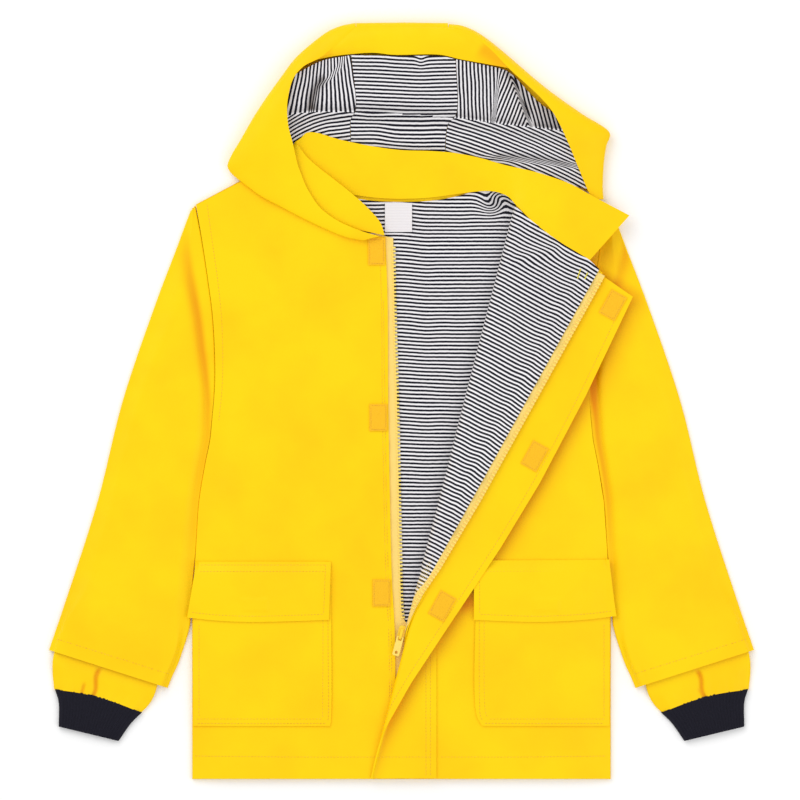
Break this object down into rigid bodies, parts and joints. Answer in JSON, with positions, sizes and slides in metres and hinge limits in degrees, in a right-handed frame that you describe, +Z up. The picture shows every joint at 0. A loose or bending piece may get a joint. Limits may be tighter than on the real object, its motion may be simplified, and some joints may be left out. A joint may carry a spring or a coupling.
{
  "type": "child's hooded raincoat",
  "caption": "Child's hooded raincoat lying flat on its back, zip open and one front folded back, striped lining showing.",
  "frame": {"origin": "middle of the coat's outline on the surface that it lies on", "axes": "+X to the wearer's left, +Y from the hem to the hood, +Z up from the surface"},
  "size_m": [0.705, 0.7564, 0.024],
  "materials": {
    "coated_cloth": "yellow coated cloth with a soft sheen",
    "striped_jersey": "navy and white striped cotton jersey",
    "zip_tape": "pale yellow woven tape with moulded teeth",
    "hook_and_loop": "deep yellow hook and loop tape",
    "rib_knit": "dark navy rib knit",
    "woven_label": "pale woven label, left bare",
    "zip_plastic": "moulded yellow plastic"
  },
  "bodies": {
    "coat": {"back_panel": "coated_cloth", "back_lining": "striped_jersey", "front_right": "coated_cloth", "zip_tape_right": "zip_tape", "hook_patch_top": "hook_and_loop", "hook_patch_middle": "hook_and_loop", "hook_patch_low": "hook_and_loop", "front_left": "coated_cloth", "front_left_lining": "striped_jersey", "zip_tape_left": "zip_tape", "storm_flap": "coated_cloth", "loop_patch_top": "hook_and_loop", "loop_patch_middle": "hook_and_loop", "loop_patch_low": "hook_and_loop", "pocket_right": "coated_cloth", "pocket_left": "coated_cloth", "pocket_flap_right": "coated_cloth", "pocket_flap_left": "coated_cloth", "sleeve_right": "coated_cloth", "sleeve_left": "coated_cloth", "under_sleeve_right": "coated_cloth", "under_sleeve_left": "coated_cloth", "rib_cuff_right": "rib_knit", "rib_cuff_left": "rib_knit", "hood_side_right": "coated_cloth", "hood_side_left": "coated_cloth", "hood_centre": "coated_cloth", "hood_facing": "coated_cloth", "hood_lining_centre": "striped_jersey", "hood_lining_right": "striped_jersey", "hood_lining_left": "striped_jersey", "collar": "coated_cloth", "neck_label": "woven_label", "zip_slider": "zip_plastic"},
    "pull_tab": {"zip_pull": "zip_plastic"}
  },
  "joints": [
    {"name": "pull_tab_hinge", "type": "hinge", "parent": "coat", "child": "pull_tab", "pos_m": [-0.00114, -0.23611, 0.0116], "axis": [-0.9666, 0.2561, 0], "range_deg": [0, 120]}
  ]
}
